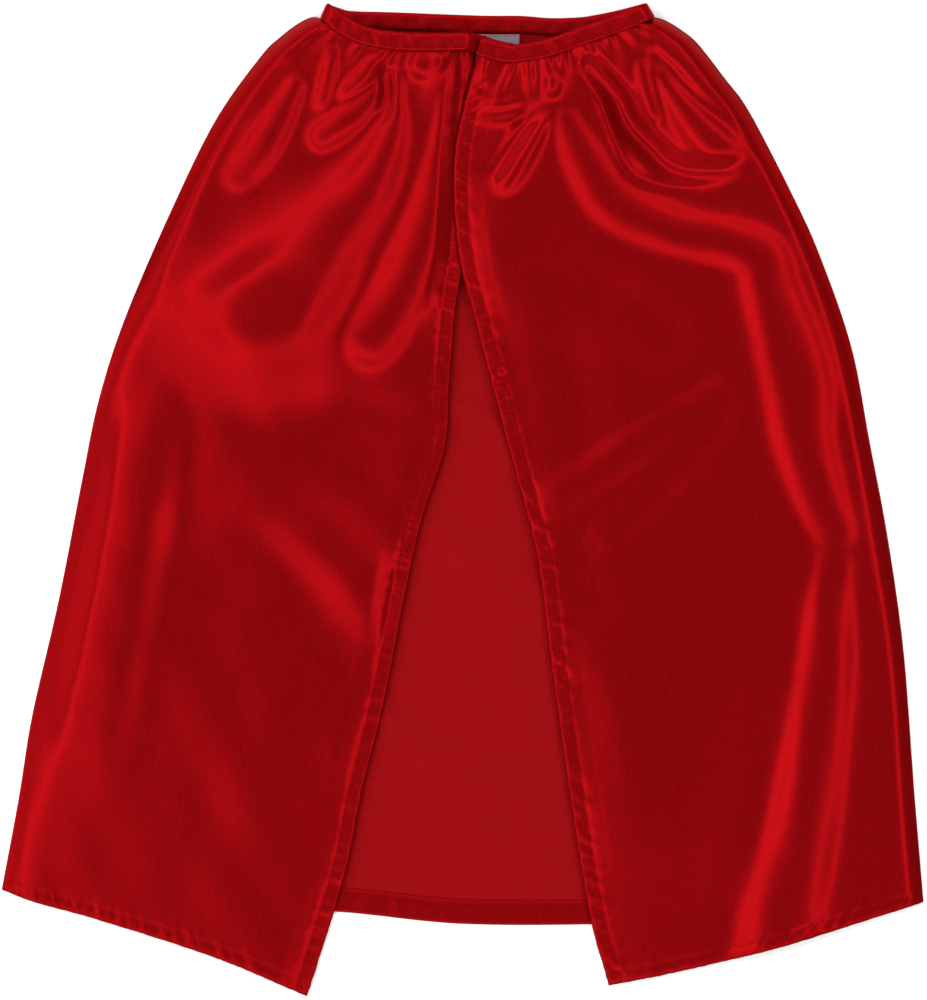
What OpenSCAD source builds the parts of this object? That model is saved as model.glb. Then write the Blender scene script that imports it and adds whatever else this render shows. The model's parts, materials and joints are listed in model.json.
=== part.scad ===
// Child's superhero cape in gathered satin, laid flat: the back lies underneath, both sides are
// folded over it, and the two fronts meet on top below a narrow neckband.
// +X is the wearer's left, +Y points to the neckband, +Z is up.
// The origin is at the middle of the underside. Each layer is a plain slab that holds the space
// of one layer of gathered cloth with its folds.

/* [Cape] */
// Width across the hem as the cape lies
cape_width = 598; // [540:1:660]
// Length from the neckband to the lowest front corner
cape_length = 646; // [590:1:710]
// Thickness of one layer of the cloth with its small folds
cloth = 3; // [2:0.5:3.5]
// Height of the top of the fronts at the neckband
neck_rise = 26; // [24:1:34]
// Height of the top of the fronts at the hem
hem_rise = 14; // [13:1:24]

/* [Neckband] */
// Height of the neckband
band_height = 11; // [8:1:13]
// Thickness of the neckband with the gathers sewn into it
band_thick = 4; // [3:0.5:5]
// How far the wearer's right end runs under the left one
underlap_length = 30; // [20:1:40]
// Thickness of each half of the fastening tape
tape_thick = 1.2; // [0.8:0.1:1.4]
// Height of the fastening tape
tape_height = 8; // [6:1:9]

/* [Hems] */
// Depth of the turned front edges
edge_hem = 10; // [8:1:12]
// Depth of the turned hem under each front
front_hem = 8; // [6:1:10]
// Depth of the turned hem of the back
back_hem_depth = 14; // [10:1:16]
// Thickness of the turned cloth
turn = 1.2; // [0.8:0.1:1.5]
// Width of a row of stitches
stitch_width = 1.2; // [0.8:0.1:1.6]
// How far the stitches stand out
stitch_thick = 0.6; // [0.4:0.1:0.8]

/* [Label] */
// Width of the blank label
label_width = 38; // [30:1:45]
// Drop of the blank label below the neckband
label_drop = 22; // [16:1:28]
// Thickness of the folded label
label_thick = 1; // [0.6:0.1:1.2]

/* [Hidden] */

satin = "crimson";
matte = "firebrick";
thread = "darkred";

gap = 0.6;             // clearance between pieces of cloth that lie side by side
tape_gap = 0.3;        // clearance between the two fastened tapes
fold_wall = 8;         // thickness of the outer wall of each side fold
stitch_inset = 1.5;    // distance from a row of stitches to the raw edge of its hem
tape_inset = 1.2;      // distance from a tape's stitches to its edge
band_inset = 0.7;      // distance from the neckband's stitches to its seam
tall = 80;             // higher than every layer
steps = 4;             // segments between two outline points

// The outlines are drawn for a cape of this width and length, and fitted to the chosen one.
drawn_width = 598;
drawn_length = 646;

// Side folds, from the neckband down to the hem
right_side = [[-100, 309], [-131, 284], [-160, 245], [-190, 186], [-219, 117], [-247, 11],
              [-271, -107], [-288, -195], [-299, -254]];
left_side = [[127, 311], [152, 294], [186, 250], [215, 195], [245, 122], [264, 37], [277, -27],
             [290, -149], [296, -228], [299, -262]];
// Straight lines on which the fronts turn over, from the neckband down to the hem
right_turn = [[-88, 306], [-277, -262]];
left_turn = [[117, 306], [277, -268]];
// Front edges, from the neckband down to the front corners
right_edge = [[6, 290], [-3, 256], [-8, 227], [-8, 180], [-6, 140], [-8, 76], [-18, 10],
              [-37, -63], [-57, -159], [-75, -240], [-101, -323]];
left_edge = [[8, 287], [1, 256], [-5, 227], [-5, 190], [-1, 155], [6, 123], [22, 62], [42, -13],
             [57, -105], [69, -190], [82, -264], [95, -317]];
// Lower edges of the fronts, from each turning line to the front corner
right_bottom = [[-277, -262], [-234, -274], [-160, -298], [-101, -323]];
left_bottom = [[277, -268], [206, -290], [140, -307], [95, -317]];
// Lower edge of the back, from the right side fold to the left one
back_bottom = [[-299, -254], [-190, -263], [-83, -268], [0, -276], [100, -276], [200, -272],
               [299, -262]];
// Seams that join the cloth to the neckband
right_seam = [[-88, 306], [-68, 297], [-50, 293], [-24, 291], [6, 290]];
left_seam = [[8, 287], [28, 283], [53, 287], [74, 295], [97, 302], [117, 306]];
back_seam = [[-100, 309], [-74, 306], [-20, 304], [37, 303], [77, 302], [100, 306], [127, 311]];
// Corners of the neckband, where it turns from the back to the front
right_corner = [[-100, 309], [-97, 317], [-89, 319], [-89.5, 308.5]];
left_corner = [[118, 310], [118, 323], [122, 321], [127, 311]];
// Middle of the label's top edge
label_top = [18, 302];
// Where the right half of the neckband ends and its underlap begins
step_start = [3, 290];
// Width of the step down to the underlap, and how far its end lies below its start
step_width = 4;
underlap_fall = 7;

function fit(points) = [for (p = points)
    [p[0] * cape_width / drawn_width, p[1] * cape_length / drawn_length]];
function shift(points, x, y) = [for (p = points) [p[0] + x, p[1] + y]];
function backwards(points) = [for (i = [len(points) - 1:-1:0]) points[i]];

// A smooth curve through the points (Catmull-Rom)
function between(a, b, c, d, t) = 0.5 * (2 * b + (c - a) * t
    + (2 * a - 5 * b + 4 * c - d) * t * t + (3 * b - a - 3 * c + d) * t * t * t);
function smooth(points) = let (p = fit(points), n = len(p) - 1) [
    for (i = [0:n - 1]) for (k = [0:steps - 1])
        between(p[max(i - 1, 0)], p[i], p[i + 1], p[min(i + 2, n)], k / steps),
    p[n]];

// The part of a curve that lies below a height
function below(curve, y) = [for (p = curve) if (p[1] < y) p];
function lowest(curve) = min([for (p = curve) p[1]]);
// The curve without its first point, which lies on a turning line
function inside(curve) = [for (i = [1:len(curve) - 1]) curve[i]];

// The strip between a curve moved by one distance and the same curve moved by another
function strip(curve, from, to) =
    concat(shift(curve, from[0], from[1]), backwards(shift(curve, to[0], to[1])));

// Height of the top of the fronts, which falls from the neckband to the hem
top_slope = (neck_rise - hem_rise) / cape_length;
function front_top(y) = (neck_rise + hem_rise) / 2 + top_slope * y;

// A layer of the fronts: its outline, cut between two heights measured from the fronts' top
module front_layer(outline, low, high) {
    reach = cape_length;
    intersection() {
        translate([0, 0, cloth]) linear_extrude(height = tall) polygon(outline);
        translate([-cape_width, 0, 0]) rotate([90, 0, 90]) linear_extrude(height = 2 * cape_width)
            polygon([[-reach, front_top(-reach) + low], [reach, front_top(reach) + low],
                     [reach, front_top(reach) + high], [-reach, front_top(-reach) + high]]);
    }
}

// A layer of the back: its outline, between two heights above the ground
module back_layer(outline, low, high) {
    translate([0, 0, low]) linear_extrude(height = high - low) polygon(outline);
}

// Heights of the fastening's pieces, measured from the fronts' top
loop_low = -band_thick - tape_thick;
hook_high = loop_low - tape_gap;
hook_low = hook_high - tape_thick;
underlap_low = hook_low - band_thick;

// ---- The back, which lies on the ground ----

hem_curve = smooth(back_bottom);
neck_curve = smooth(back_seam);

module back_panel() {
    color(matte) back_layer(concat(smooth(right_side), hem_curve,
        backwards(smooth(left_side)), backwards(shift(neck_curve, 0, -gap))), 0, cloth);
}

// A side fold is the wall that rises from the back, where the cloth turns to the fronts
module side_fold(side, turn_line, inward) {
    curve = below(smooth(side), fit(turn_line)[0][1]);
    color(satin) front_layer(strip(curve, [0, 0], [inward * fold_wall, 0]), -tall, -cloth);
}
// A side panel is the cloth between the top of the side fold and the turning line
module side_panel(side, turn_line, inward) {
    curve = below(smooth(side), fit(turn_line)[0][1]);
    edge = shift(fit(turn_line), -inward * gap, -gap);
    color(satin) front_layer(concat(curve, backwards(edge)), -cloth, 0);
}
module right_side_fold() { side_fold(right_side, right_turn, 1); }
module left_side_fold() { side_fold(left_side, left_turn, -1); }
module right_side_panel() { side_panel(right_side, right_turn, 1); }
module left_side_panel() { side_panel(left_side, left_turn, -1); }

// Keeps a piece that lies on the back clear of the side folds' walls
module between_walls() {
    inset = fold_wall + gap;
    right = shift(smooth(right_side), inset, 0);
    left = shift(smooth(left_side), -inset, 0);
    intersection() {
        children();
        linear_extrude(height = tall) polygon(concat(right,
            [right[len(right) - 1] - [0, cape_length], left[len(left) - 1] - [0, cape_length]],
            backwards(left)));
    }
}

// The hem is turned up onto the inside of the back
module back_hem() {
    color(satin) between_walls()
        back_layer(strip(hem_curve, [0, 0], [0, back_hem_depth]), cloth, cloth + turn);
}
module back_hem_stitching() {
    row = back_hem_depth - stitch_inset;
    color(thread) between_walls()
        back_layer(strip(hem_curve, [0, row - stitch_width], [0, row]), cloth + turn,
            cloth + turn + stitch_thick);
}

// The back of the neckband, with the corners where it turns up to the fronts
module neckband_back() {
    color(satin) union() {
        back_layer(strip(neck_curve, [0, 0], [0, band_height]), 0, band_thick);
        for (corner = [right_corner, left_corner]) {
            front_layer(fit(corner), -tall, 0);
            back_layer(fit(corner), 0, band_thick);
        }
    }
}
module neckband_back_stitching() {
    middle = [for (p = neck_curve) if (abs(p[0] - fit([label_top])[0][0]) < 80) p];
    color(thread) back_layer(strip(middle, [0, stitch_inset], [0, stitch_inset + stitch_width]),
        band_thick, band_thick + stitch_thick);
}

// The label is blank, and sewn to the back just under the neckband
module label_layer(drop, low, high) {
    top = fit([label_top])[0] - [label_width / 2, 2 * gap];
    translate([top[0], top[1] - drop, low]) cube([label_width, drop, high - low]);
}
module care_label() {
    color("silver") label_layer(label_drop, cloth, cloth + label_thick);
}
module care_label_stitching() {
    color(thread) label_layer(stitch_width, cloth + label_thick,
        cloth + label_thick + stitch_thick);
}

// ---- The fronts, which turn over on the side folds ----

module front_panel(seam, edge, bottom) {
    color(satin) front_layer(concat(smooth(seam), smooth(edge), backwards(smooth(bottom))),
        -cloth, 0);
}

// Keeps the front edge's hem and stitches above the bottom hem
module above_bottom(bottom) {
    difference() {
        children();
        linear_extrude(height = tall)
            polygon(strip(smooth(bottom), [0, -tall], [0, front_hem + gap]));
        translate(concat(fit([bottom[len(bottom) - 1]])[0], 0) - [tall, tall, 0])
            cube([2 * tall, tall + front_hem / 2, tall]);
    }
}

// The front edge is turned under the panel
module edge_strip(seam, edge, bottom, inward, from, to, low, high) {
    curve = below(smooth(edge), lowest(smooth(seam)) - gap);
    above_bottom(bottom) front_layer(strip(curve, [inward * from, 0], [inward * to, 0]),
        low, high);
}
module front_edge_hem(seam, edge, bottom, inward) {
    color(satin) edge_strip(seam, edge, bottom, inward, 0, edge_hem, -cloth - turn, -cloth);
}
module front_edge_stitching(seam, edge, bottom, inward) {
    row = edge_hem - stitch_inset;
    color(thread)
        edge_strip(seam, edge, bottom, inward, row - stitch_width, row, 0, stitch_thick);
}

// The lower edge is turned under the panel as well
module front_bottom_hem(bottom) {
    color(satin)
        front_layer(strip(inside(smooth(bottom)), [0, 0], [0, front_hem]), -cloth - turn, -cloth);
}
module front_bottom_stitching(bottom) {
    row = front_hem - stitch_inset;
    color(thread) front_layer(strip(inside(smooth(bottom)), [0, row - stitch_width], [0, row]),
        0, stitch_thick);
}

// One half of the neckband's front, standing on its seam
module band_strip(seam, from, to, low, high) {
    front_layer(strip(smooth(seam), [0, gap + from], [0, gap + to]), low, high);
}
module band_stitching(seam) {
    color(thread) band_strip(seam, band_inset, band_inset + stitch_width, 0, stitch_thick);
}

// Keeps what lies on the wearer's right of the step down to the underlap
module before_step() {
    intersection() {
        children();
        translate([-cape_width, -cape_length, 0])
            cube([cape_width + fit([step_start])[0][0], 2 * cape_length, tall]);
    }
}

// The underlap's lower edge, from the step to its end
function underlap_edge(from, to) = [for (i = [0:steps]) let (t = from + (to - from) * i / steps)
    fit([step_start])[0] + [gap + t * underlap_length, gap - underlap_fall * t * (2 - t)]];
tape_edge = underlap_edge(0.3, 0.97);
tape_sides = [(band_height - tape_height) / 2, (band_height + tape_height) / 2];

module tape_layer(low, high) {
    front_layer(strip(tape_edge, [0, tape_sides[0]], [0, tape_sides[1]]), low, high);
}
// Stitches run round a tape, a little inside its edge
module tape_stitching(low, high) {
    outer = tape_inset;
    inner = tape_inset + stitch_width;
    color(thread) difference() {
        front_layer(strip(underlap_edge(0.34, 0.93), [0, tape_sides[0] + outer],
            [0, tape_sides[1] - outer]), low, high);
        front_layer(strip(underlap_edge(0.38, 0.89), [0, tape_sides[0] + inner],
            [0, tape_sides[1] - inner]), low - 1, high + 1);
    }
}

module right_front_panel() { front_panel(right_seam, right_edge, right_bottom); }
module right_edge_hem() { front_edge_hem(right_seam, right_edge, right_bottom, -1); }
module right_edge_stitching() {
    front_edge_stitching(right_seam, right_edge, right_bottom, -1);
}
module right_bottom_hem() { front_bottom_hem(right_bottom); }
module right_bottom_stitching() { front_bottom_stitching(right_bottom); }
module neckband_right() {
    color(satin) before_step() band_strip(right_seam, 0, band_height, -band_thick, 0);
}
module neckband_right_stitching() { before_step() band_stitching(right_seam); }

// The end of the neckband's right half steps down and runs under the left half
module neckband_underlap() {
    color(satin) union() {
        front_layer(strip(underlap_edge(0, step_width / underlap_length), [0, 0],
            [0, band_height]), underlap_low, 0);
        front_layer(strip(underlap_edge(0, 1), [0, 0], [0, band_height]), underlap_low, hook_low);
    }
}
module hook_tape() { color("black") tape_layer(hook_low, hook_high); }
module hook_tape_stitching() { tape_stitching(underlap_low - stitch_thick, underlap_low); }

module left_front_panel() { front_panel(backwards(left_seam), left_edge, left_bottom); }
module left_edge_hem() { front_edge_hem(left_seam, left_edge, left_bottom, 1); }
module left_edge_stitching() {
    front_edge_stitching(left_seam, left_edge, left_bottom, 1);
}
module left_bottom_hem() { front_bottom_hem(left_bottom); }
module left_bottom_stitching() { front_bottom_stitching(left_bottom); }
module neckband_left() {
    color(satin) band_strip(left_seam, 0, band_height, -band_thick, 0);
}
module neckband_left_stitching() { band_stitching(left_seam); }
module loop_tape() { color("black") tape_layer(loop_low, -band_thick); }
module loop_tape_stitching() { tape_stitching(0, stitch_thick); }

back_panel();
right_side_fold();
left_side_fold();
right_side_panel();
left_side_panel();
back_hem();
back_hem_stitching();
neckband_back();
neckband_back_stitching();
care_label();
care_label_stitching();
right_front_panel();
right_edge_hem();
right_edge_stitching();
right_bottom_hem();
right_bottom_stitching();
neckband_right();
neckband_right_stitching();
neckband_underlap();
hook_tape();
hook_tape_stitching();
left_front_panel();
left_edge_hem();
left_edge_stitching();
left_bottom_hem();
left_bottom_stitching();
neckband_left();
neckband_left_stitching();
loop_tape();
loop_tape_stitching();
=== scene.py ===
import json
import math

import bmesh
import bpy
import numpy as np
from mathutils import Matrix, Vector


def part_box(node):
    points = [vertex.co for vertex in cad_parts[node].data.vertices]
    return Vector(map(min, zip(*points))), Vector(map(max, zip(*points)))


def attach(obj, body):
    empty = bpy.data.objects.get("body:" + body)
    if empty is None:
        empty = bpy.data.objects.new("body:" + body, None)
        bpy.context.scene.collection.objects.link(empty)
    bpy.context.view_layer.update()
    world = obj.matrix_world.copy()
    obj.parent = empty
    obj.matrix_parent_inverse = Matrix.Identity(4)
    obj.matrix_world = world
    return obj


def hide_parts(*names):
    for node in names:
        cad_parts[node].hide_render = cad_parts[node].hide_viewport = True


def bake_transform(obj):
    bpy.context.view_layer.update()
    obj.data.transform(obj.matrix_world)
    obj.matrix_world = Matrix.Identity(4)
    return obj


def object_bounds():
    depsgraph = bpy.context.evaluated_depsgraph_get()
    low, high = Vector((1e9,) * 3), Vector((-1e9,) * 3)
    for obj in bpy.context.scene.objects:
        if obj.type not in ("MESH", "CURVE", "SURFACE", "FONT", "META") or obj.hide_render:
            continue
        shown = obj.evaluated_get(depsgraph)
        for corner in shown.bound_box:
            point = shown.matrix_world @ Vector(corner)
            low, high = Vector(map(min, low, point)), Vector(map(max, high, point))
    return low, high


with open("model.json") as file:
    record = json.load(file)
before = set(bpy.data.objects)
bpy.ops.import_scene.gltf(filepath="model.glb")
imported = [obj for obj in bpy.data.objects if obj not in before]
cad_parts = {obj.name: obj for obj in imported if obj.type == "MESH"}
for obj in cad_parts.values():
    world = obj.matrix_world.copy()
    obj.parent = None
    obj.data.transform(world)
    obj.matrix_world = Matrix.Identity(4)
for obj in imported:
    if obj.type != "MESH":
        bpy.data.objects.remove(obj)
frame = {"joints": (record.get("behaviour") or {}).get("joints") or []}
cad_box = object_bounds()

# Lengths are in millimetres until a mesh is made. +X is the wearer's left, +Y points to the
# neckband, and "right" and "left" are the wearer's.
MM = 0.001
DRAWN_WIDTH, DRAWN_LENGTH = 598, 646      # the cape that the outlines below are drawn for
FIT = np.array([(cad_box[1].x - cad_box[0].x) / MM / DRAWN_WIDTH,
                (cad_box[1].y - cad_box[0].y) / MM / DRAWN_LENGTH])
CLOTH = 0.4                               # thickness of the satin
EDGE_HEM, EDGE_ROW = 10.5, 9.0            # depth of the front edges' hems, and of their stitches
FRONT_HEM, FRONT_ROW = 8.5, 7.0           # the same for the hem under each front
BACK_HEM, BACK_ROW = 14.0, 12.6           # and for the hem of the back
FINE = 1.5                                # distance between points over a hem


def box_mm(node):
    """The lowest and highest corners of a CAD node."""
    low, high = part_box(node)
    return np.array(low) / MM, np.array(high) / MM


NECK_TOP = box_mm("neckband_back")[1][2]
HEM_TOP = box_mm("left_bottom_stitching")[0][2]


def crest(y):
    """The height that the fronts' folds stay under, so that the fronts can turn over."""
    return np.interp(y, [-DRAWN_LENGTH / 2, DRAWN_LENGTH / 2], [HEM_TOP, NECK_TOP])


# ---- Curves and grids ----

def curve(points, count):
    """Evenly spaced points along a smooth curve through the given ones."""
    p = np.array(points, float)
    p[:, :2] *= FIT
    p = np.vstack([2 * p[0] - p[1], p, 2 * p[-1] - p[-2]])
    t = np.linspace(0, 1, 24, endpoint=False)[:, None]
    line = [0.5 * (2 * b + (c - a) * t + (2 * a - 5 * b + 4 * c - d) * t ** 2
                   + (3 * b - a - 3 * c + d) * t ** 3) for a, b, c, d in zip(p, p[1:], p[2:], p[3:])]
    return at_stops(np.vstack(line + [p[-2:-1]]), np.linspace(0, 1, count))


def along(line, columns=2):
    """Distance from the start of a line to each of its points, level or in space (3 columns)."""
    steps = np.diff(line[:, :columns], axis=0)
    return np.r_[0, np.cumsum(np.linalg.norm(steps, axis=1))]


def at(line, run, stops):
    """Points of a line at the given distances. run holds the distances of its own points."""
    return np.stack([np.interp(stops, run, column) for column in line.T], 1)


def at_stops(line, stops):
    """Points of a line at the given shares of its level length."""
    run = along(line)
    return at(line, run, stops * run[-1])


def evenly(line, count):
    """A line in space with evenly spaced points, and their distances along it."""
    run = along(line, 3)
    stops = np.linspace(0, run[-1], count)
    return at(line, run, stops), stops


def patch(top, bottom, start, end, stops):
    """A grid of points, [across, down], between four boundary curves."""
    u = np.linspace(0, 1, len(top))[:, None, None]
    v = stops[None, :, None]
    start, end = at_stops(start, stops), at_stops(end, stops)
    ruled = (1 - v) * top[:, None] + v * bottom[:, None] + (1 - u) * start[None] + u * end[None]
    return (ruled - (1 - u) * (1 - v) * top[0] - u * (1 - v) * top[-1]
            - (1 - u) * v * bottom[0] - u * v * bottom[-1])


def ease(x):
    """0 below 0, 1 above 1, and a smooth rise between."""
    x = np.clip(x, 0, 1)
    return x * x * (3 - 2 * x)


def under(z, top, soft=1.2):
    """z, kept smoothly under top."""
    return -soft * np.logaddexp(-z / soft, -top / soft)


def smooth(z, rounds):
    """Bending stiffness, which rounds off what is sharper than the cloth can be."""
    for _ in range(rounds):
        z[1:-1] += 0.25 * (z[:-2] + z[2:] - 2 * z[1:-1])
        z[:, 1:-1] += 0.25 * (z[:, :-2] + z[:, 2:] - 2 * z[:, 1:-1])
    return z


# ---- Folds ----

def crisp(away):
    """Section of a fold with a low crown and crisp sides."""
    return 0.31 * np.exp(-(away / 0.87) ** 5) + 0.47 * np.exp(-(away / 0.87) ** 2)


def rounded(away):
    """Section of a fold with a flat top and soft sides."""
    return np.exp(-away ** 2.6)


def fold(xy, rows, section=rounded):
    """Height of one fold. Each row is a place on its ridge, its half width there and its
    height."""
    line = curve(rows, 9 * len(rows))
    height = np.zeros(xy.shape[:2])
    for a, b in zip(line, line[1:]):
        step = b - a
        t = np.clip((xy - a[:2]) @ step[:2] / (step[:2] @ step[:2]), 0, 1)
        x, y, width, top = np.moveaxis(a + t[..., None] * step, -1, 0)
        away = np.hypot(xy[..., 0] - x, xy[..., 1] - y) / width
        height = np.maximum(height, top * section(away))
    return height


def folds(xy, rounded_rows, crisp_rows=(), soft=1.6):
    """Several folds side by side. Where two meet, a narrow valley stays between them."""
    total = np.zeros(xy.shape[:2])
    for rows in rounded_rows:
        total += np.expm1(fold(xy, rows) / soft)
    for rows in crisp_rows:
        total += np.expm1(fold(xy, rows, crisp) / soft)
    return soft * np.log1p(total)


def pleats(across, down, count, seed, span=(9, 34), height=(0.9, 2.3)):
    """Fine pleats sewn into a seam. across is the distance along it, down the distance below."""
    random = np.random.default_rng(seed)
    z = np.zeros(np.broadcast_shapes(across.shape, down.shape))
    for k in range(count):
        middle = (k + random.uniform(0.1, 0.9)) / count * across.max()
        width = random.uniform(1.7, 3.2)
        reach = random.uniform(*span)
        lean = random.uniform(-0.25, 0.25)
        top = random.uniform(*height)
        away = (across - middle - lean * down) / (width * (1 + down / reach))
        z += top * np.exp(-away ** 2 - (down / reach) ** 1.5)
    return z


def puckers(run, seed, amount=0.4, off=0.0):
    """Small uneven waves that a row of stitches pulls into the cloth. run is the distance
    along the row and off the distance from it."""
    random = np.random.default_rng(seed)
    z = np.zeros_like(run)
    for length in (5, 7.5, 11, 16, 27):
        shift = random.uniform(0, 2 * math.pi)
        slant = random.uniform(-0.9, 0.9)
        bend = random.uniform(1.5, 3) * np.sin(run / random.uniform(15, 40) + shift)
        swell = 0.5 + 0.5 * np.sin(run / random.uniform(12, 35) + 2 * shift)
        z += swell * np.cos(2 * math.pi * (run + slant * off) / length + bend) / 2
    return amount * z


def sway(xy, seed, amount=0.45):
    """Slow uneven waves, mostly down the cloth, as a hand leaves them in it."""
    random = np.random.default_rng(seed)
    z = np.zeros(xy.shape[:2])
    for length in (38, 47, 60, 78, 104, 140):
        angle = random.uniform(-0.6, 0.6)
        shift = random.uniform(0, 2 * math.pi)
        ahead = math.cos(angle) * xy[..., 0] + math.sin(angle) * xy[..., 1]
        aside = math.cos(angle) * xy[..., 1] - math.sin(angle) * xy[..., 0]
        bend = 1.2 * np.sin(aside / length + shift)
        z += length / 140 * np.cos(2 * math.pi * ahead / length + shift + bend)
    return amount * z


# ---- Outlines, from the neckband down, and from the wearer's right to left ----

SIDE = {
    "right": [[-91, 312], [-97, 313], [-106, 309], [-118, 300], [-131, 287], [-160, 246],
              [-189, 187], [-219, 117], [-236, 64], [-247, 11], [-262, -66], [-279, -140],
              [-288, -195], [-299, -254]],
    "left": [[124, 313], [131, 311], [141, 305], [152, 296], [170, 273], [186, 251], [215, 195],
             [232, 157], [252, 99], [264, 37], [276, -27], [286, -99], [293, -190], [299, -262]]}
EDGE = {
    "right": [[9, 291.5], [6, 256], [4, 227], [3, 190], [1, 155], [-4, 125], [-8, 76], [-11, 34],
              [-26, -13], [-37, -63], [-51, -134], [-65, -190], [-75, -240], [-93, -298],
              [-101, -323]],
    "left": [[10, 289.5], [1, 256], [-5, 227], [-6, 194], [-2, 155], [6, 123], [16, 85], [30, 32],
             [48, -37], [57, -105], [69, -190], [82, -268], [95, -316]]}
SEAM = {
    "right": [[-91, 312], [-81, 306], [-68, 299.5], [-50, 295], [-24, 293], [9, 291.5]],
    "left": [[124, 313], [117, 309], [97, 304], [74, 297], [53, 289.5], [28, 285.5], [10, 289.5]]}
BOTTOM = {
    "right": [[-299, -254], [-277, -262], [-234, -274], [-160, -298], [-101, -323]],
    "left": [[299, -262], [277, -269], [206, -291], [140, -307], [95, -316]]}
BACK_SEAM = [[-91, 312], [-74, 308], [-20, 306], [37, 305], [77, 304], [100, 308], [124, 313]]
BACK_BOTTOM = [[-299, -254], [-190, -263], [-83, -268], [0, -276], [100, -276], [200, -272],
               [299, -262]]

# ---- Shape of the fronts ----

# The ridges of the folds with crisp sides, from the top down: x, y, half width and height
CRISP_FOLDS = {
    "right": [[[-7, 276, 4, 1.6], [-9, 262, 6, 2.2], [-14, 224, 10, 3.6], [-22, 184, 15, 4.9],
               [-35, 147, 19, 6.3], [-51, 117, 21, 7.2], [-59, 104, 20, 6.7]],
              [[-17, 284, 7, 2.7], [-26, 279, 8, 3.4]],
              [[-59, 282, 6, 2.5], [-66, 272, 7, 3.4], [-76, 264, 6, 2.7]],
              [[-55, 264, 5, 2.2], [-66, 252, 9, 3.8], [-79, 243, 11, 4.5], [-91, 235, 10, 4]],
              [[-84, 290, 5, 2.2], [-87, 274, 6, 2.9], [-91, 258, 6, 2]],
              [[-108, 268, 7, 2.9], [-119, 246, 11, 4.5], [-132, 225, 13, 4.7], [-144, 210, 12, 2.9]],
              [[-104, 300, 6, 2.7], [-117, 290, 7, 2.9]]],
    "left": [[[67, 246, 9, 2.9], [79, 220, 15, 4.7], [100, 192, 18, 5.6], [137, 175, 17, 5.4],
              [175, 166, 17, 5.4], [194, 157, 19, 5.8], [201, 134, 20, 6.3], [210, 105, 23, 7.2],
              [218, 72, 24, 7.4], [221, 42, 21, 6.5], [231, 4, 18, 5.5], [241, -22, 15, 4]],
             [[241, -42, 14, 3.8], [236, -100, 19, 5.6], [231, -150, 21, 6.3], [224, -200, 24, 6.9],
              [212, -252, 26, 7.2], [202, -300, 28, 7.2]],
             [[59, 270, 6, 2.7], [54, 254, 7, 3.6], [45, 234, 8, 4], [34, 214, 9, 4.3],
              [28, 204, 8, 3.6]],
             [[116, 280, 5, 2.2], [119, 266, 6, 2.9], [124, 250, 6, 2.7]],
             [[130, 276, 7, 2.9], [143, 254, 12, 4.9], [162, 234, 16, 6], [182, 222, 14, 3.8]],
             [[130, 298, 7, 2.7], [160, 264, 11, 3.6], [190, 233, 12, 3.4]],
             [[60, 0, 14, 1.6], [110, 32, 15, 2.5], [165, 68, 12, 1.8]],
             [[95, -22, 14, 1.1], [140, 24, 15, 2], [172, 62, 12, 1.3]]]}
# The ridges of the folds with soft sides
SOFT_FOLDS = {
    "right": [[[-43, 276, 4, 1.6], [-44, 262, 6, 2.2], [-45, 242, 9, 3.4], [-59, 208, 16, 6],
               [-84, 177, 25, 7.8], [-107, 144, 31, 9], [-130, 128, 29, 7.4], [-154, 124, 23, 4.5],
               [-176, 126, 16, 1.6]],
              [[-198, 64, 18, 1.1], [-206, 30, 24, 5.7], [-216, -20, 27, 7.4], [-229, -92, 27, 7.4],
               [-240, -144, 26, 5.6], [-250, -196, 21, 1.2]],
              [[-150, 14, 30, 2.7], [-115, -8, 26, 3.8], [-75, -42, 24, 4.5], [-50, -75, 20, 3.4]],
              [[-160, -60, 50, 2.2], [-160, -110, 54, 2.7], [-140, -160, 46, 1.8]]],
    "left": [[[60, 132, 30, 2], [90, 122, 26, 2]],
             [[112, 118, 20, 1.8], [130, 105, 20, 1.8]],
             [[110, -110, 50, 1.8], [120, -200, 50, 1.8]]]}
# Broad low swells, on which the folds stand
SWELLS = {
    "right": [[[-146, 112, 42, 6], [-130, 108, 48, 9.5], [-110, 108, 42, 7.5]]],
    "left": [[[60, 150, 60, 1.5], [150, 100, 60, 1.5]]]}
# Narrow valleys: x, y, half width and depth
VALLEYS = {
    "right": [[[-50, 276, 3, 2], [-49, 262, 4, 4], [-50, 248, 4, 1]],
              [[-105, 60, 16, 0.6], [-60, 52, 16, 1.3], [-15, 50, 14, 0.8]]],
    "left": [[[83, 281, 6, 4], [99, 262, 7, 8], [108, 243, 8, 8.5], [121, 229, 8, 8],
              [137, 215, 8, 6], [161, 212, 7, 4], [190, 220, 6, 1.5]],
             [[57, 258, 5, 2.5], [40, 240, 6, 3], [22, 214, 6, 2]],
             [[124, 287, 5, 1], [148, 264, 6, 1.4], [176, 241, 6, 1.4], [192, 230, 5, 0.6]]]}
# Thin creases that stand up: x, y, half width and height
CREASES = {
    "right": [],
    "left": [[[87, 263, 2, 1], [94, 246, 2.4, 2], [105, 217, 2.4, 2.4], [121, 205, 2.4, 2],
              [148, 202, 2.4, 0.5]],
             [[6, 256, 3, 1], [22, 255, 3, 1.6], [36, 258, 3, 1]],
             [[10, 246, 3, 1], [26, 245, 3, 1.4], [42, 248, 3, 0.8]]]}
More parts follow.
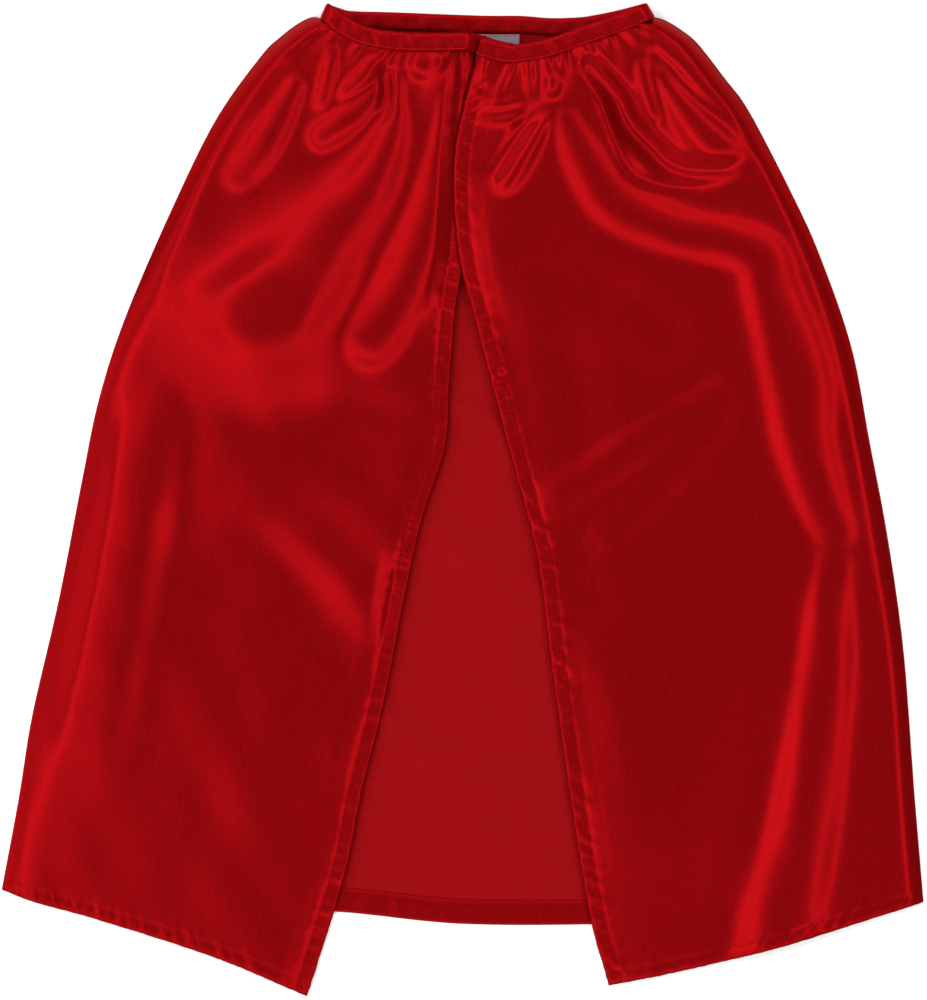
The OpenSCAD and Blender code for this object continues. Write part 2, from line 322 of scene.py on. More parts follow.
# Height of the level cloth between the folds, along y, for the middle and for the front edge
LEVEL_Y = [-330, -150, 0, 120, 200, 250, 285, 310]
LEVEL = {"right": [9, 7.6, 6, 8.5, 12, 15.5, 20, 21],
         "left": [7, 7.6, 8.2, 9.5, 12, 15.5, 20, 21]}
EDGE_LEVEL = {"right": [5, 5.2, 6, 6.6, 8, 10.5, 15, 16],
              "left": [5.6, 6.4, 7.5, 8.8, 11.5, 15, 20, 21]}
# Reach of the round from the side up to the level cloth, along y, and how sharp it is
SIDE_REACH = {"right": [24, 24, 22, 17, 13, 12, 11, 10],
              "left": [14, 14, 14, 13, 12, 12, 11, 10]}
SIDE_POWER = {"right": 1.8, "left": 2.2}
EDGE_FALL = {"right": 22, "left": 45}     # reach of the fall to the front edge
FOOT = 1.6                                # height of the side of the fronts
HEM_SEED = {"right": 11, "left": 23}      # of the gathers and of the hems' puckers
SWAY_SEED = {"right": 41, "left": 57}
EDGE_ROLL = 0.5                           # how far an edge rolls under
GROOVE = 1.1                              # half width of the dip under a row of stitches


def fine_stops(length, hem, count):
    """Shares of a length, closer together over the hem at its end."""
    tight = np.arange(0, hem + 4, FINE)[::-1]
    rest = np.linspace(0, 1, count - len(tight), endpoint=False) ** 1.15
    return np.r_[rest * (1 - (hem + 5) / length), 1 - tight / length]


def front_plan(side, nu, nv):
    """The places of a front's points, and their distances from the side and from the seam."""
    flat = patch(curve(SEAM[side], nu), curve(BOTTOM[side], nu), curve(SIDE[side], 400),
                 curve(EDGE[side], 400), fine_stops(620, FRONT_HEM, nv))
    for j in range(nv):
        width = along(flat[:, j])[-1]
        flat[:, j] = at_stops(flat[:, j], fine_stops(width, EDGE_HEM, nu))
    run = np.stack([along(flat[:, j]) for j in range(nv)], 1)
    fall = np.stack([along(flat[i]) for i in range(nu)], 0)
    return flat, run, fall


def front_level(side, y, run, from_edge):
    """Height of the level cloth, which rounds down to the side and falls to the front edge."""
    level = np.interp(y, LEVEL_Y, LEVEL[side])
    edge_level = np.interp(y, LEVEL_Y, EDGE_LEVEL[side])
    reach = np.minimum(np.interp(y, LEVEL_Y, SIDE_REACH[side]), run[-1] * 0.4)
    rise = 1 - (1 - np.clip(run / reach, 0, 1)) ** SIDE_POWER[side]
    near_edge = ease(1 - from_edge / EDGE_FALL[side])
    return FOOT + (level - FOOT) * rise - (level - edge_level) * near_edge


def front_folds(side, flat):
    """What the folds, swells, slow waves, valleys and creases of a front add to its height."""
    z = folds(flat, SOFT_FOLDS[side], CRISP_FOLDS[side], 1.2) + folds(flat, SWELLS[side])
    z += sway(flat, SWAY_SEED[side])
    for rows in VALLEYS[side]:
        z -= fold(flat, rows)
    for rows in CREASES[side]:
        z += fold(flat, rows)
    return z


def groove(distance, depth):
    """The dip that a row of stitches pulls into the cloth."""
    return depth * np.exp(-(distance / GROOVE) ** 2)


def front_surface(side, nu, nv):
    """The outer face of one front with its side, from the side to the front edge."""
    flat, run, fall = front_plan(side, nu, nv)
    y = flat[..., 1]
    from_edge = run[-1] - run
    from_bottom = fall[:, -1:] - fall
    z = front_level(side, y, run, from_edge)
    z += front_folds(side, flat) * ease(run / 24) * ease((from_edge - 2) / 20)
    seed = HEM_SEED[side]
    gathers = pleats(run[:, :1] + 0 * fall, fall, 24, seed, (9, 30), (1.4, 3.2))
    z += (gathers - 1.2 * np.exp(-fall / 14)) * ease(run / 10) * ease(from_edge / 6)
    z = under(smooth(z, 3), crest(y) - 0.3)
    # the stitches pull small waves into both hems, and the edges roll under
    edge_zone = ease(1 - (from_edge - EDGE_ROW) / 6) * ease(run / 30) * ease(fall / 30)
    z += puckers(fall, seed + 1, 0.45, from_edge) * edge_zone
    bottom_zone = ease(1 - (from_bottom - FRONT_ROW) / 6) * ease(run / 12)
    z += puckers(run, seed + 2, 0.35, from_bottom) * bottom_zone
    z -= groove(from_edge - EDGE_ROW, 0.35) * ease(run / 20)
    z -= groove(from_bottom - FRONT_ROW, 0.3) * ease(run / 12)
    z -= EDGE_ROLL * (np.exp(-from_edge / 0.7) + np.exp(-from_bottom / 0.7) * ease(run / 12))
    flat[..., 0] += 0.5 * puckers(fall, seed + 3) * ease(1 - from_edge / 12) * ease(fall / 30)
    flat[..., 1] += 0.4 * puckers(run, seed + 4) * ease(1 - from_bottom / 10) * ease(run / 30)
    return np.dstack([flat, z])


# ---- Meshes ----

def make(name, vertices, faces, *materials):
    """A closed mesh, whose faces are turned to look outwards."""
    mesh = bpy.data.meshes.new(name)
    mesh.from_pydata((np.asarray(vertices) * MM).tolist(), [], [list(map(int, f)) for f in faces])
    solid = bmesh.new()
    solid.from_mesh(mesh)
    bmesh.ops.recalc_face_normals(solid, faces=solid.faces)
    solid.to_mesh(mesh)
    solid.free()
    for material in materials:
        mesh.materials.append(material)
    mesh.shade_smooth()
    obj = bpy.data.objects.new(name, mesh)
    bpy.context.collection.objects.link(obj)
    return obj


def grid_faces(nu, nv, start=0):
    """Quads of a grid of points, of which the first has the number start."""
    i, j = np.meshgrid(np.arange(nu - 1), np.arange(nv - 1), indexing="ij")
    a = (i * nv + j + start).ravel()
    return np.stack([a, a + nv, a + nv + 1, a + 1], 1)


def normals(p):
    """Upward normals of a sheet."""
    n = np.cross(np.gradient(p, axis=0), np.gradient(p, axis=1))
    n /= np.linalg.norm(n, axis=-1, keepdims=True) + 1e-12
    return n * (1 if n[len(n) // 2, n.shape[1] // 2, 2] > 0 else -1)


def sheet_mesh(name, p, upper, lower, thick=CLOTH):
    """A sheet with an upper face, which p gives, a lower face and a rim."""
    nu, nv = p.shape[:2]
    total = nu * nv
    beneath = p - normals(p) * thick
    ring = np.r_[np.arange(nv), np.arange(1, nu) * nv + nv - 1,
                 (nu - 1) * nv + np.arange(nv - 2, -1, -1), np.arange(nu - 2, 0, -1) * nv]
    after = np.roll(ring, -1)
    rim = np.stack([ring, after, after + total, ring + total], 1)
    grid = grid_faces(nu, nv)
    obj = make(name, np.vstack([p.reshape(-1, 3), beneath.reshape(-1, 3)]),
               np.vstack([grid, grid_faces(nu, nv, total), rim]), upper, lower)
    index = np.zeros(2 * len(grid) + len(rim), int)
    index[len(grid):2 * len(grid)] = 1
    obj.data.polygons.foreach_set("material_index", index)
    return obj


# One stitch is a thread with six sides: places along it, as shares of its length, and its
# thickness there as a share of the thickest
STITCH_SIDES = 6
STITCH_SHAPE = [(-0.5, 0.35), (-0.3, 1), (0.3, 1), (0.5, 0.35)]


def stitch_faces():
    """The faces of one stitch, its two ends included."""
    n = STITCH_SIDES
    last = n * (len(STITCH_SHAPE) - 1)
    walls = [[k + i, k + (i + 1) % n, k + n + (i + 1) % n, k + n + i]
             for k in range(0, last, n) for i in range(n)]
    ends = [[first + i for i in half] for first in (0, last)
            for half in ((0, 1, 2, 3), (3, 4, 5, 0))]
    return np.array(walls + ends)


def stitches(name, rows, material, pitch=3.1, length=2.3, radius=0.22):
    """Rows of single stitches. Each row is a line of points and the normals along it."""
    round_it = np.linspace(0, 2 * math.pi, STITCH_SIDES, endpoint=False)
    shape = np.array([[a * length, r * radius * math.cos(t), r * radius * math.sin(t)]
                      for a, r in STITCH_SHAPE for t in round_it])
    one = stitch_faces()
    vertices, faces = [], []
    for line, up in rows:
        run = along(line, 3)
        stops = np.arange(pitch / 2, run[-1], pitch)
        place = at(line, run, stops)
        rise = at(up, run, stops)
        t = at(line, run, stops + 0.5) - place
        t /= np.linalg.norm(t, axis=1, keepdims=True) + 1e-9
        s = np.cross(t, rise)
        s /= np.linalg.norm(s, axis=1, keepdims=True) + 1e-9
        n = np.cross(s, t)
        for k in range(len(stops)):
            faces.append(one + len(vertices) * len(shape))
            vertices.append(place[k] + shape @ np.stack([t[k], s[k], n[k]]))
    return make(name, np.vstack(vertices), np.vstack(faces), material)


# ---- Materials ----

def principled(name, color, **values):
    """A material, its node tree and its shader, with the given values on the shader."""
    m = bpy.data.materials.new(name)
    m.use_nodes = True
    shader = m.node_tree.nodes["Principled BSDF"]
    shader.inputs["Base Color"].default_value = (*color, 1)
    for key, value in values.items():
        shader.inputs[key.replace("_", " ")].default_value = value
    return m, m.node_tree, shader


def add(tree, kind, **values):
    """A new node. Each value is one of its settings or of its sockets."""
    node = tree.nodes.new(kind)
    for key, value in values.items():
        if hasattr(node, key):
            setattr(node, key, value)
        else:
            node.inputs[key.replace("_", " ")].default_value = value
    return node


def threads(tree, shader, fine, long, strength):
    """Bump of threads that run along Y: fine is their width and long the length of their
    unevenness, in metres. Returns the noise that it is made from."""
    place = add(tree, "ShaderNodeTexCoord")
    scale = add(tree, "ShaderNodeMapping")
    scale.inputs["Scale"].default_value = (1 / fine, 1 / long, 1 / fine)
    noise = add(tree, "ShaderNodeTexNoise", Scale=1.0, Detail=3.0, Roughness=0.6)
    bump = add(tree, "ShaderNodeBump", Strength=strength, Distance=0.0004)
    tree.links.new(place.outputs["Object"], scale.inputs["Vector"])
    tree.links.new(scale.outputs["Vector"], noise.inputs["Vector"])
    tree.links.new(noise.outputs["Fac"], bump.inputs["Height"])
    tree.links.new(bump.outputs["Normal"], shader.inputs["Normal"])
    return noise


def spread(tree, noise, low=0.0, high=1.0):
    """The middle of the noise's range, spread from low to high."""
    ramp = add(tree, "ShaderNodeMapRange")
    for socket, value in (("From Min", 0.3), ("From Max", 0.7), ("To Min", low), ("To Max", high)):
        ramp.inputs[socket].default_value = value
    tree.links.new(noise.outputs["Fac"], ramp.inputs["Value"])
    return ramp.outputs["Result"]


def vary(tree, shader, noise, dark, light):
    """Colour that changes a little from thread to thread."""
    mix = add(tree, "ShaderNodeMix", data_type="RGBA")
    mix.inputs["A"].default_value = (*dark, 1)
    mix.inputs["B"].default_value = (*light, 1)
    tree.links.new(spread(tree, noise), mix.inputs["Factor"])
    tree.links.new(mix.outputs["Result"], shader.inputs["Base Color"])


def satin_material():
    m, tree, shader = principled("satin", (0.21, 0.0018, 0.003), Metallic=0.57, IOR=1.05,
                                 Anisotropic=0.2)
    shader.inputs["Specular Tint"].default_value = (0.9, 0.02, 0.02, 1)
    noise = threads(tree, shader, 0.0005, 0.012, 0.045)
    tree.links.new(spread(tree, noise, 0.285, 0.325), shader.inputs["Roughness"])
    vary(tree, shader, noise, (0.19, 0.0016, 0.0026), (0.235, 0.0022, 0.0036))
    return m


def inside_material():
    m, tree, shader = principled("satin_inside", (0.2, 0.002, 0.003), Roughness=0.6, IOR=1.2)
    shader.inputs["Specular Tint"].default_value = (1, 0.12, 0.12, 1)
    noise = threads(tree, shader, 0.0005, 0.008, 0.12)
    vary(tree, shader, noise, (0.185, 0.0018, 0.0028), (0.215, 0.0024, 0.0034))
    return m


def thread_material():
    m, tree, shader = principled("thread", (0.16, 0.001, 0.002), Roughness=0.5, IOR=1.1)
    shader.inputs["Specular Tint"].default_value = (1, 0.1, 0.1, 1)
    noise = threads(tree, shader, 0.0002, 0.0004, 0.3)
    vary(tree, shader, noise, (0.13, 0.001, 0.002), (0.2, 0.0012, 0.0024))
    return m


def label_material():
    m, tree, shader = principled("label", (0.19, 0.135, 0.165), Roughness=0.55, IOR=1.35)
    noise = threads(tree, shader, 0.0004, 0.0004, 0.2)
    vary(tree, shader, noise, (0.17, 0.12, 0.15), (0.21, 0.15, 0.18))
    return m


def tape_material():
    m, tree, shader = principled("fastening_tape", (0.1, 0.002, 0.003), Roughness=0.75, IOR=1.3)
    noise = threads(tree, shader, 0.0003, 0.0003, 0.4)
    vary(tree, shader, noise, (0.08, 0.0015, 0.002), (0.14, 0.003, 0.004))
    return m


satin = satin_material()
matte = inside_material()
thread = thread_material()
label = label_material()
tape_cloth = tape_material()

# ---- Moving with the frame ----

HINGE = {j["child"]: (np.array(j["pos_m"]) / MM, np.array(j["axis"])) for j in frame["joints"]}


def turn_over(piece, side):
    """Cloth that crosses the line on which a front turns over. Its place is baked into its points;
    the hinge and the direction inward from it are worked out but not used.
    """
    place, axis = HINGE[f"{side}_front"]
    inward = np.array([-axis[1], axis[0], 0]) / np.hypot(axis[0], axis[1])
    inward *= 1 if (inward[0] > 0) == (side == "right") else -1
    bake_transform(piece)


def move_with(piece, part):
    """The back's pieces ride on it, and a front's have their place baked into their points."""
    if part == "back":
        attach(piece, "back")
    else:
        turn_over(piece, part)


# ---- Fronts ----

SIDE_ROUND = 0.6                          # radius of the round at the side
LAYER_GAP = 0.1                           # between a hem and the cloth that it lies under
MARGIN = 4                                # points at the side and the seam that hems leave free


def side_roll(p):
    """Adds the round with which the cloth turns under at its side."""
    out = p[0] - p[2]
    out[:, 2] = 0
    out /= np.linalg.norm(out, axis=1, keepdims=True)
    rows = [p[0] + SIDE_ROUND * (out * math.sin(turn) + [0, 0, math.cos(turn) - 1])
            for turn in np.radians([150, 105, 60])]
    return np.concatenate([np.array(rows), p])


def hem_points(depth):
    """How many points a hem covers."""
    return math.ceil(depth / FINE) + 1


def row_point(depth):
    """The point under a row of stitches, counted back from the edge."""
    return -1 - round(depth / FINE)


def front_pieces(side):
    """One front: its cloth, its two hems and their stitches."""
    p = front_surface(side, 130, 350)
    up = normals(p)
    cloth = sheet_mesh(f"{side}_front_cloth", side_roll(p), satin, matte)
    turn_over(cloth, side)
    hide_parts(f"{side}_front_panel", f"{side}_side_fold", f"{side}_side_panel")

    turned = p - up * (CLOTH + LAYER_GAP)
    edge_count = hem_points(EDGE_HEM)
    edge_hem = sheet_mesh(f"{side}_edge_hem_cloth", turned[-edge_count:, MARGIN:], matte, satin)
    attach(edge_hem, f"{side}_front")
    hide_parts(f"{side}_edge_hem")
    bottom_count = hem_points(FRONT_HEM)
    bottom = turned[MARGIN:1 - edge_count, -bottom_count:]
    bottom_hem = sheet_mesh(f"{side}_bottom_hem_cloth", bottom, matte, satin)
    turn_over(bottom_hem, side)
    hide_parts(f"{side}_bottom_hem")

    # each row shows above the cloth and under its hem
    beneath = p - up * (2 * CLOTH + 1.5 * LAYER_GAP)
    edge = row_point(EDGE_ROW), slice(MARGIN, -bottom_count)
    edge_row = stitches(f"{side}_edge_stitches",
                        [(face[edge], up[edge]) for face in (p, beneath)], thread)
    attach(edge_row, f"{side}_front")
    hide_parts(f"{side}_edge_stitching")
    foot = slice(MARGIN - 1, 1 - MARGIN), row_point(FRONT_ROW)
    bottom_row = stitches(f"{side}_bottom_stitches",
                          [(face[foot], up[foot]) for face in (p, beneath)], thread)
    turn_over(bottom_row, side)
    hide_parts(f"{side}_bottom_stitching")


for side in ("right", "left"):
    front_pieces(side)

# ---- Back ----

BACK_LEVEL, BACK_TOP = 1.0, 4.5           # height of its level cloth, and what its folds stay under
# The ridges of its low folds: x, y, half width and height
BACK_FOLDS = [[[-20, 62, 7, 1.5], [8, 54, 8, 2.8], [26, 40, 8, 2.8], [38, 20, 7, 1]],
              [[-20, -20, 10, 1.2], [14, -44, 11, 3], [40, -52, 9, 3], [58, -74, 8, 1.4]],
              [[-62, -134, 7, 1.2], [-42, -150, 8, 2.8], [-14, -168, 9, 2.4], [30, -176, 12, 1.2]],
              [[-250, -160, 20, 2], [-210, 20, 25, 3], [-150, 160, 20, 2]],
              [[250, -160, 20, 2], [215, 20, 25, 3], [155, 160, 20, 2]]]


def back_surface(nu, nv):
    """The inner face of the back, which lies on the ground, from the wearer's right to left."""
    flat = patch(curve(BACK_SEAM, nu), curve(BACK_BOTTOM, nu), curve(SIDE["right"], 400),
                 curve(SIDE["left"], 400), fine_stops(590, BACK_HEM, nv))
    run = np.stack([along(flat[:, j]) for j in range(nv)], 1)
    fall = np.stack([along(flat[i]) for i in range(nu)], 0)
    from_side = np.minimum(run, run[-1] - run)
    from_bottom = fall[:, -1:] - fall
    z = BACK_LEVEL + folds(flat, BACK_FOLDS) * ease(from_side / 20) * ease(from_bottom / 40)
    z += pleats(run[:, :1] + 0 * fall, fall, 38, 5, (20, 90), (0.6, 1.5)) * ease(from_side / 12)
    z = under(z, BACK_TOP)
    z += puckers(run, 31, 0.3) * ease(1 - (from_bottom - BACK_ROW) / 9) * ease(from_side / 12)
    z -= groove(from_bottom - BACK_ROW, 0.3) * ease(from_side / 12)
    return np.dstack([flat, np.maximum(z, CLOTH + LAYER_GAP)])


def back_pieces():
    """The back, its hem and the hem's stitches."""
    p = back_surface(170, 260)
    up = normals(p)
    back = sheet_mesh("back_cloth", p, matte, satin)
    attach(back, "back")
    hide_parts("back_panel")
    lifted = p + up * (CLOTH + 1.5 * LAYER_GAP)
    hem = sheet_mesh("back_hem_cloth", lifted[MARGIN - 1:1 - MARGIN, -hem_points(BACK_HEM):],
                     satin, matte)
    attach(hem, "back")
    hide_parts("back_hem")
    foot = slice(MARGIN, -MARGIN), row_point(BACK_ROW)
    row = stitches("back_hem_stitches", [((lifted + up * 0.05)[foot], up[foot])], thread)
    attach(row, "back")
    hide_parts("back_hem_stitching")


back_pieces()

# ---- Neckband ----

BAND_WIDTH, BAND_THICK = 11.5, 2.2
BAND_SEED = {"back": 7, "right": 8, "left": 7}
WRINKLES = [(11, 0.9), (17, -0.7), (8, 0.4), (26, 1.2)]       # length and slant
SEWN = 3                                  # point of the section under the row of stitches
STITCHED = {"back": slice(60, -60), "right": slice(3, 180), "left": slice(3, -3)}
BAND_MIDDLE = 14                          # x of the middle of the back of the neckband
CORNER_START, CORNER_REACH = 60, 45       # from the middle, where its direction across turns
CORNER = {"right": [0.39, 0.92, 0], "left": [-0.47, 0.88, 0]}  # direction across the corners
# The middle of the band: x, y, and height above the ground, or below the fronts' top if negative
BAND = {"back": [[-76, 306, -2.2], [-82, 310.2, -2.2], [-86.4, 313.8, -2.8], [-88.8, 315.8, -6],
                 [-89.6, 316.2, -13], [-88.6, 315.8, 6.5], [-86, 315, 3.4], [-80, 313, 2.5],
                 [-72, 311.3, 2.4], [-42, 310.4, 2.4], [11, 308.4, 2.4], [37, 308.2, 2.4],
                 [57, 306.8, 2.4], [77, 307.4, 2.4], [91, 309.6, 2.4], [104, 312.4, 2.5],
                 [114, 315, 3.4], [120, 316.4, 6.5], [121.4, 316.6, -14], [121, 316.4, -8],
                 [118.5, 315.4, -3.4], [114, 313.4, -2.2], [107, 310.4, -2.2]],
        "right": [[-83, 310.6, -1.9], [-79, 307.8, -1.9], [-67.5, 301.5, -1.9], [-52, 297.8, -1.9],
                  [-38, 296.3, -1.9], [-24, 295.9, -1.9], [-8, 296.2, -1.9], [2, 296.4, -2.3],
                  [8, 295.6, -5.2], [14, 294.2, -7.8], [22, 291.6, -8.2], [33, 289.4, -8.3]],
        "left": [[10.5, 293, -1.9], [18, 291, -1.9], [28, 288.6, -1.9], [37, 288.9, -1.9],
                 [53, 291.6, -1.9], [68, 296.4, -1.9], [80, 300.8, -1.9], [94, 305.4, -1.9],
                 [108, 310.6, -1.9], [112, 312.4, -1.9]]}


def band_line(part, count):
    """The middle of a part of the neckband, evenly spaced, and the distances along it."""
    rows = np.array(BAND[part], float)
    level = np.where(rows[:, 2] < 0, rows[:, 2] + crest(rows[:, 1]), rows[:, 2])
    return evenly(curve(np.column_stack([rows[:, :2], level]), 3 * count), count)


def level_across(line):
    """Level direction across a line, towards the top of the neckband."""
    t = np.gradient(line, axis=0)
    across = np.stack([-t[:, 1], t[:, 0], 0 * t[:, 0]], 1)
    across[across[:, 1] < 0] *= -1
    return across


def back_across(line):
    """Direction across the back of the neckband: along Y, and slanted at the two corners."""
    x = line[:, :1]
    mix = ease((np.abs(x - BAND_MIDDLE) - CORNER_START) / CORNER_REACH)
    corner = np.where(x < BAND_MIDDLE, [CORNER["right"]], [CORNER["left"]])
    return (1 - mix) * np.array([[0, 1, 0]]) + mix * corner


def band_section():
    """Section of a flat band with round sides, as shares of half its width and its thickness."""
    a = np.sin(np.linspace(-math.pi / 2, math.pi / 2, 13))
    bulge = np.sqrt(1 - np.abs(a) ** 5) / 2
    return np.r_[np.stack([a, bulge], 1), np.stack([a, -bulge], 1)[-2:0:-1]]


def wrinkles(stops, section, width, seed):
    """Small slanted waves of a band, lower towards its sides and on its lower face."""
    random = np.random.default_rng(seed)
    s = stops[:, None]
    aside = section[:, 0]
    wave = np.zeros((len(stops), len(section)))
    for length, slant in WRINKLES:
        phase = random.uniform(0, 2 * math.pi)
        bend = 1.5 * np.sin(s / random.uniform(20, 40) + phase)
        wave += np.cos(2 * math.pi * (s + slant * width * aside / 2) / length + bend) / 2
    return wave * (1 - 0.8 * np.abs(aside) ** 3) * np.where(section[:, 1] > 0, 1, 0.6)


def band_faces(n, k):
    """The faces of a band of n sections with k points each, its two ends included."""
    faces = [[i * k + j, i * k + (j + 1) % k, (i + 1) * k + (j + 1) % k, (i + 1) * k + j]
             for i in range(n - 1) for j in range(k)]
    for first in (0, (n - 1) * k):
        for j in range(k // 2):
            corners = [first + j, first + j + 1, first + (k - j - 1) % k, first + (k - j) % k]
            faces.append(list(dict.fromkeys(corners)))
    return faces


def tape(name, line, stops, across, width, thick, material, wrinkle=0.0, seed=1, taper=0):
    """A flat band of cloth, closed all round. across is its direction from the seam to the
    top, and taper the distance over which its ends get narrower. Returns the piece, its
    points, and its directions across and up."""
    t = np.gradient(line, axis=0)
    t /= np.linalg.norm(t, axis=1, keepdims=True)
    across = across - (across * t).sum(1, keepdims=True) * t
    across /= np.linalg.norm(across, axis=1, keepdims=True)
    up = np.cross(t, across)
    section = band_section()
    size = np.ones((len(line), 1))
    if taper:
        ends = np.exp(-stops / taper) + np.exp(-(stops[-1] - stops) / taper)
        size[:, 0] = 1 - 0.35 * ends
    reach = section[:, 0] * width / 2 * size
    height = (section[:, 1] * thick + wrinkle * wrinkles(stops, section, width, seed)) * size
    p = line[:, None] + across[:, None] * reach[..., None] + up[:, None] * height[..., None]
    faces = band_faces(len(line), len(section))
    return make(name, p.reshape(-1, 3), faces, material), p, across, up


def neckband_pieces(part):
    """One part of the neckband and its stitches."""
    line, stops = band_line(part, 240)
    across = back_across(line) if part == "back" else level_across(line)
    band, p, _, up = tape(f"neckband_{part}_cloth", line, stops, across, BAND_WIDTH, BAND_THICK,
                          satin, wrinkle=0.2, seed=BAND_SEED[part],
                          taper=3 if part == "back" else 0)
    move_with(band, part)
    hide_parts(f"neckband_{part}")
    if part == "right":
        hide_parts("neckband_underlap")
    keep = STITCHED[part]
    row = stitches(f"neckband_{part}_stitches", [(p[keep, SEWN], up[keep])], thread)
    move_with(row, part)
    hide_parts(f"neckband_{part}_stitching")


for part in ("back", "right", "left"):
    neckband_pieces(part)


# ---- Label and fastening tapes ----

def label_pieces():
    """The blank label, which hangs from under the neckband, and its stitches."""
    low, high = box_mm("care_label")
    x, y = np.meshgrid(np.linspace(low[0], high[0], 40), np.linspace(high[1] + 1, low[1], 26),
                       indexing="ij")
    drop = (y[0, 0] - y) / (high[1] - low[1])
    bulge = 0.5 * np.sin(math.pi * drop)
    wave = 0.35 * np.cos(x / 6 + 2 * drop)
    slip = 0.6 * drop * np.sin(x / 9)
    p = np.dstack([x + slip, y, high[2] + 0.3 + bulge + wave])
    piece = sheet_mesh("care_label_cloth", p, label, label, 0.5)
    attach(piece, "back")
    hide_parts("care_label")
    row = stitches("care_label_stitches", [(p[2:-2, 1], normals(p)[2:-2, 1])], thread)
    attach(row, "back")
    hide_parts("care_label_stitching")


TAPE_WIDTH, TAPE_THICK = 8, 0.8
TAPE_LIFT = BAND_THICK / 2 + 0.35         # between the middles of the neckband and of a tape
TAPE_ROW = 3.1                            # from the middle of a tape to its stitches
TAPE_STOPS = 90                           # points along a tape
ROW_START = 3                             # points at each end that the stitches leave free
# One hook: rise and reach of its four sections, the corners of a section, and its half width
# and half thickness
HOOK_SHAPE = [(0, 0), (0.35, -0.1), (0.6, 0.1), (0.5, 0.4)]
HOOK_CORNERS = [(-1, -1), (1, -1), (1, 1), (-1, 1)]
HOOK_WIDE, HOOK_THICK = 0.09, 0.06
HOOK_PITCH, HOOK_MARGIN = 0.75, 0.8       # between two hooks, and from a hook to the tape's edge
HOOK_SEED = 16


def hook_faces():
    """The faces of one hook, its two ends included."""
    walls = [[r + i, r + (i + 1) % 4, r + 4 + (i + 1) % 4, r + 4 + i]
             for r in (0, 4, 8) for i in range(4)]
    return np.array(walls + [[0, 1, 2, 3], [12, 13, 14, 15]])


def nap(name, line, across, up, sign):
    """Many small hooks or loops that stand on a tape, on its upper face if sign is 1."""
    random = np.random.default_rng(HOOK_SEED)
    one = hook_faces()
    vertices, faces = [], []
    for k in range(4, len(line) - 4, 3):
        for off in np.arange(HOOK_MARGIN - TAPE_WIDTH / 2, TAPE_WIDTH / 2 - 0.7, HOOK_PITCH):
            angle = random.uniform(0, 2 * math.pi)
            place = line[k] + across[k] * (off + random.uniform(-0.15, 0.15))
            lean = math.cos(angle) * across[k] + math.sin(angle) * np.cross(across[k], up[k])
            aside = np.cross(lean, up[k])
            faces.append(one + len(vertices))
            vertices += [place + sign * up[k] * (rise + HOOK_THICK * b) + lean * reach
                         + aside * HOOK_WIDE * a
                         for rise, reach in HOOK_SHAPE for a, b in HOOK_CORNERS]
    return make(name, vertices, np.vstack(faces), tape_cloth)


def round_the_tape(line, across):
    """A path all round a tape, for its stitches."""
    last = len(line) - 1 - ROW_START
    there = np.arange(ROW_START, last + 1)
    over = np.linspace(-TAPE_ROW, TAPE_ROW, 12)[:, None]
    back = there[::-1]
    return np.vstack([line[there] - across[there] * TAPE_ROW, line[last] + across[last] * over,
                      line[back] + across[back] * TAPE_ROW,
                      line[ROW_START] - across[ROW_START] * over])


def tape_pieces(side, name, body, x_range, sign):
    """One half of the fastening, sewn to the end of the neckband: above it if sign is 1."""
    line, _ = band_line(side, 400)
    line = line[(line[:, 0] > x_range[0]) & (line[:, 0] < x_range[1])]
    line, stops = evenly(line + [0, 0, sign * TAPE_LIFT], TAPE_STOPS)
    piece, _, across, up = tape(f"{name}_cloth", line, stops, level_across(line), TAPE_WIDTH,
                                TAPE_THICK, tape_cloth)
    up = up * np.sign(up[:, 2:])
    hooks = nap(f"{name}_nap", line + up * sign * 0.3, across, up, sign)
    path = round_the_tape(line, across) - [0, 0, sign * (TAPE_LIFT + BAND_THICK / 2 + 0.1)]
    row = stitches(f"{name}_stitches", [(path, np.tile([0.0, 0, 1], (len(path), 1)))], thread,
                   pitch=2.6, length=1.9)
    for obj in (piece, hooks, row):
        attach(obj, body)
    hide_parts(name)
    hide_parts(f"{name}_stitching")


label_pieces()
tape_pieces("right", "hook_tape", "right_front", (12, 32), 1)
tape_pieces("left", "loop_tape", "left_front", (11.5, 31), -1)

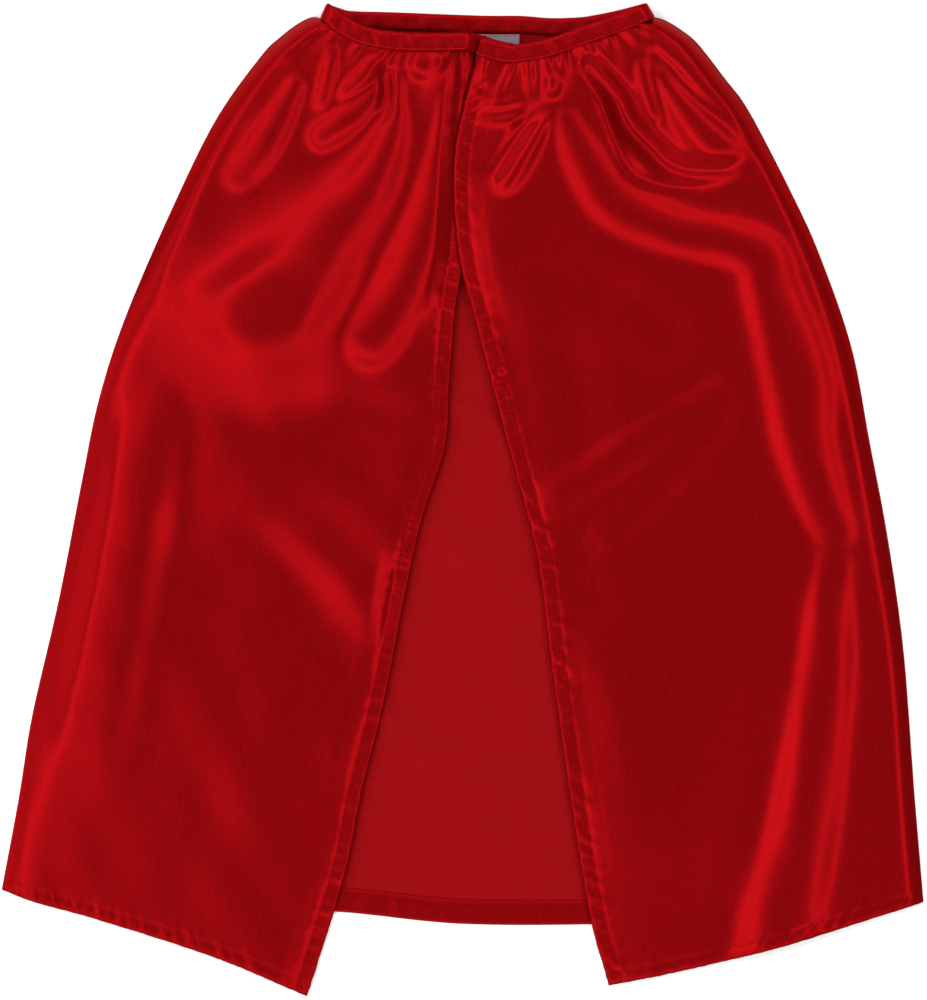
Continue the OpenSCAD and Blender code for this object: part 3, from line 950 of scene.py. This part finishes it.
# ---- Stage, light and camera ----

def area_light(name, place, turn, size, power):
    """A softbox. turn is its rotation, size its width and height in metres, power in watts."""
    data = bpy.data.lights.new(name, "AREA")
    data.shape = "RECTANGLE"
    data.size, data.size_y = size
    data.energy = power
    light = bpy.data.objects.new(name, data)
    light.location = place
    light.rotation_euler = turn
    bpy.context.collection.objects.link(light)


RING_COUNT = 8


def ring_of_softboxes(name, height, radius, size, power, left, up):
    """A ring of softboxes round the camera, which look at the middle of the cape. left and up
    are the extra power on those sides of the picture."""
    for k in range(RING_COUNT):
        angle = 2 * math.pi * k / RING_COUNT
        place = (radius * math.cos(angle), radius * math.sin(angle), height)
        watts = power - left * math.cos(angle) + up * math.sin(angle)
        turn = (0, math.atan2(radius, height), angle)
        area_light(f"{name}_{k}", place, turn, size, watts)


ring_of_softboxes("softbox", height=4.8, radius=3.24, size=(1.1, 2.6), power=50, left=2, up=1)
ring_of_softboxes("glow", height=1.7, radius=0.7, size=(0.4, 0.5), power=0.8, left=0.78, up=0)
ring_of_softboxes("rim", height=0.9, radius=2.0, size=(0.9, 1.6), power=6, left=5, up=0)
world = bpy.data.worlds.new("studio")
world.use_nodes = True
world.node_tree.nodes["Background"].inputs["Color"].default_value = (1, 1, 1, 1)
world.node_tree.nodes["Background"].inputs["Strength"].default_value = 0.2
bpy.context.scene.world = world
bpy.context.scene.view_settings.view_transform = "Standard"

bpy.ops.mesh.primitive_plane_add(size=8)
floor = bpy.context.object
floor.name = "floor"
paper, _, shader = principled("paper", (0.93, 0.93, 0.93), Roughness=0.9)
floor.data.materials.append(paper)

VIEW_HEIGHT = 0.650                       # what the picture takes in, in metres
DISTANCE = 6.0                            # of the camera from the ground
cam = bpy.data.cameras.new("camera")
cam.sensor_width = 36
cam.lens = cam.sensor_width * DISTANCE / VIEW_HEIGHT
camera = bpy.data.objects.new("camera", cam)
camera.location = (0.0006, -0.0006, DISTANCE)
bpy.context.collection.objects.link(camera)
bpy.context.scene.camera = camera
